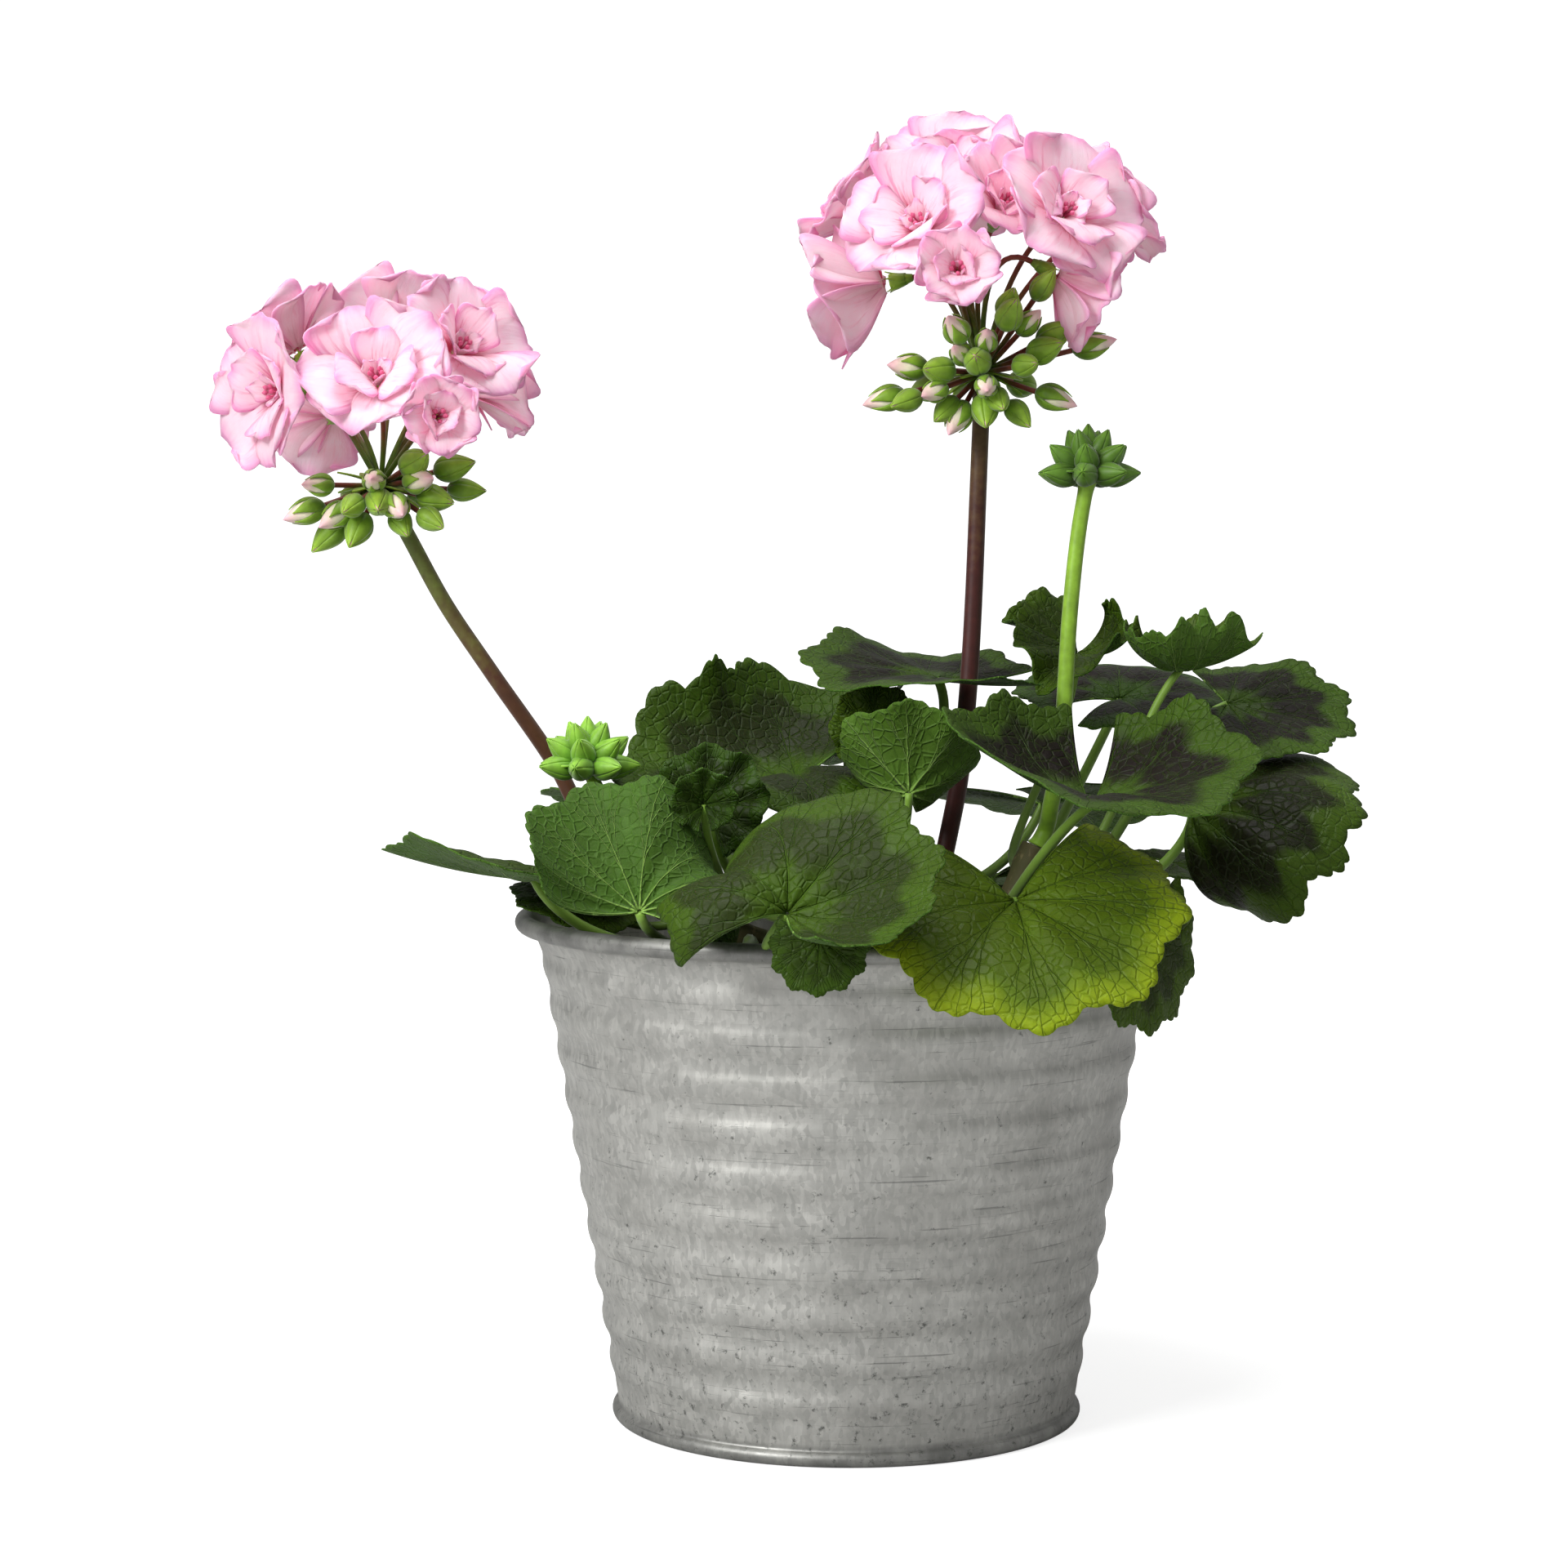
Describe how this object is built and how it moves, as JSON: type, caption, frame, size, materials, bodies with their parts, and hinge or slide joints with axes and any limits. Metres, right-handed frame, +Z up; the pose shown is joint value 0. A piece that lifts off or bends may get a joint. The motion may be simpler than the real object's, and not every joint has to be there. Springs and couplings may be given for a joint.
{
  "type": "potted zonal geranium",
  "caption": "Zonal geranium in bloom with semi-double pale pink flower heads on tall stalks over scalloped leaves, standing in a ribbed zinc pot.",
  "frame": {"origin": "centre of the pot's underside, on the surface it stands on", "axes": "+Z up along the pot's axis; -Y towards the viewer of the picture, the side with the biggest hanging leaf; +X to the right in that view"},
  "size_m": [0.2557, 0.2023, 0.2941],
  "materials": {
    "zinc_sheet": "matt galvanised sheet, weathered grey",
    "potting_soil": "dark crumbly compost",
    "green_stem": "semi-woody green-brown stem",
    "leaf_green": "softly hairy, satin",
    "pink_petal": "soft, satin",
    "green_stalk": "finely hairy, satin"
  },
  "bodies": {
    "root": {"pot_wall": "zinc_sheet", "pot_base": "zinc_sheet", "soil": "potting_soil", "stems": "green_stem", "leaf_front_right": "leaf_green", "leaf_front_centre": "leaf_green", "leaf_front_left": "leaf_green", "leaf_far_left": "leaf_green", "leaf_left_low": "leaf_green", "leaf_mid_right": "leaf_green", "leaf_far_right": "leaf_green", "leaf_right_mid": "leaf_green", "leaf_right_top": "leaf_green", "leaf_top_right": "leaf_green", "leaf_back_right_dark": "leaf_green", "leaf_top_left": "leaf_green", "leaf_centre_light": "leaf_green", "leaf_centre_curl": "leaf_green", "leaf_left_wide": "leaf_green", "leaf_young_ruffled": "leaf_green", "leaf_tiny": "leaf_green", "leaf_right_low": "leaf_green", "leaf_hang_right": "leaf_green", "leaf_hang_front": "leaf_green", "leaf_back_left": "leaf_green", "leaf_back_centre": "leaf_green", "leaf_back_right": "leaf_green", "leaf_back_low_left": "leaf_green", "leaf_back_low_right": "leaf_green", "florets_right": "pink_petal", "flower_stalk_right": "green_stalk", "florets_left": "pink_petal", "flower_stalk_left": "green_stalk", "bud_stalk_right": "green_stalk", "bud_stalk_left": "green_stalk"}
  },
  "joints": []
}
